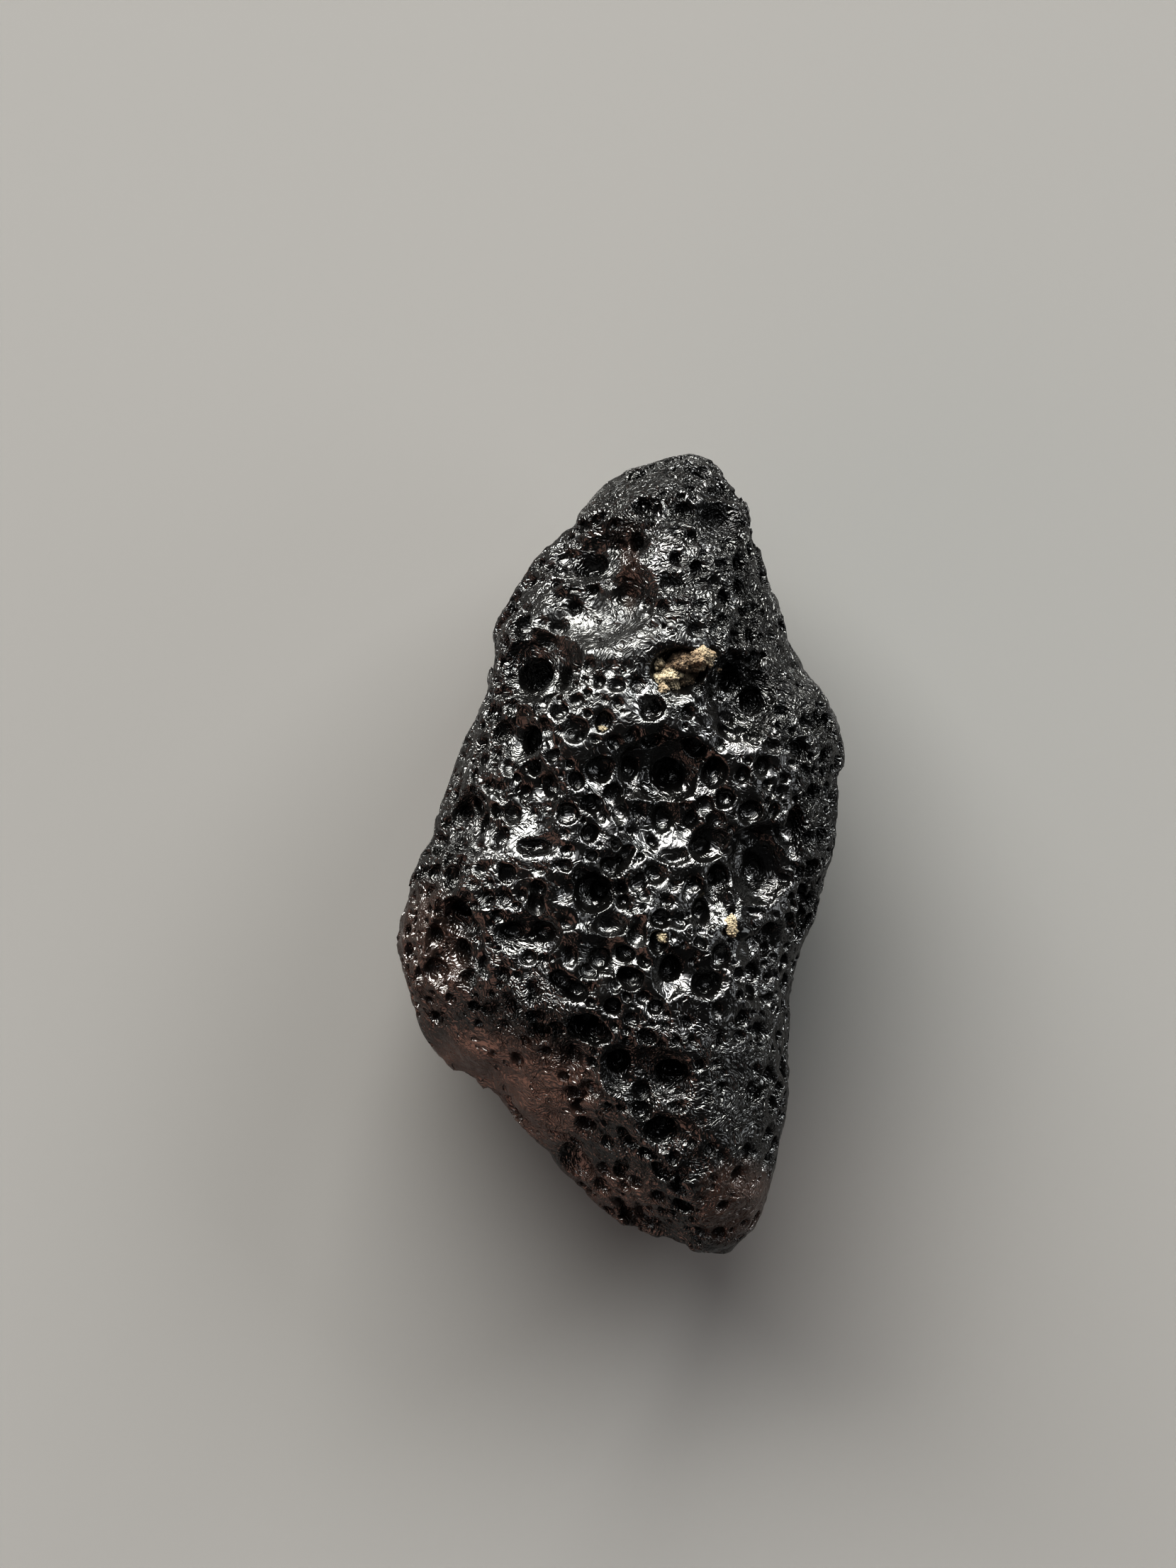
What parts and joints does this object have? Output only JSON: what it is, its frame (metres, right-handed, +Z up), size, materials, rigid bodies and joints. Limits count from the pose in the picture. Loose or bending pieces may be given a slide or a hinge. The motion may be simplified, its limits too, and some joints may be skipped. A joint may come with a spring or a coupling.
{
  "type": "tektite",
  "caption": "Long pitted piece of black natural glass, narrow at one end, with tan soil lodged in a pit. It lies on a small flat spot.",
  "frame": {"origin": "under the middle of the stone, on the surface that it lies on", "axes": "+X across the stone to the right of the pitted front, +Y along it towards the narrow tip, +Z up out of the pitted front"},
  "size_m": [0.0116, 0.021, 0.0083],
  "materials": {
    "black_glass": "opaque black natural glass, glossy with fine flow lines and etched pits",
    "tan_soil": "dry tan soil, matt and crumbly"
  },
  "bodies": {
    "root": {"tektite": "black_glass", "soil_in_pit": "tan_soil"}
  },
  "joints": []
}
